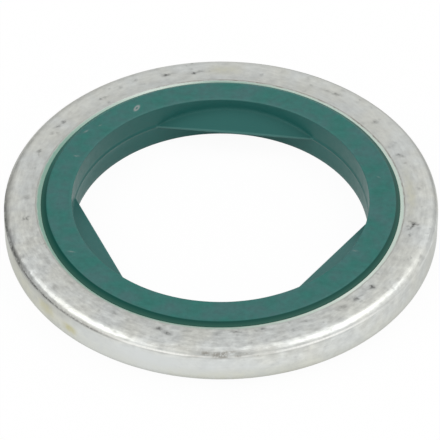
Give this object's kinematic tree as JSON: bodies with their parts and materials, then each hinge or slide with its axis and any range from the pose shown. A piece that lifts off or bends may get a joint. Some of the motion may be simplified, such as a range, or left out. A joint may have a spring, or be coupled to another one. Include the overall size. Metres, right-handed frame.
{
  "type": "self-centring bonded sealing washer",
  "caption": "Flat zinc plated steel ring with a green rubber seal bonded in its bore, raised beads on both faces and straight-edged centring flaps.",
  "frame": {"origin": "middle of the underside, in the plane of the lower sealing bead", "axes": "+Z along the plug's axis, towards the plug's head; +Y through the middle of one centring flap"},
  "size_m": [0.033, 0.033, 0.0036],
  "materials": {
    "zinc_plated_steel": "pale zinc plating, dull, with handling marks",
    "green_rubber": "satin moulded rubber"
  },
  "bodies": {
    "root": {"steel_ring": "zinc_plated_steel", "rubber_seal": "green_rubber"}
  },
  "joints": []
}
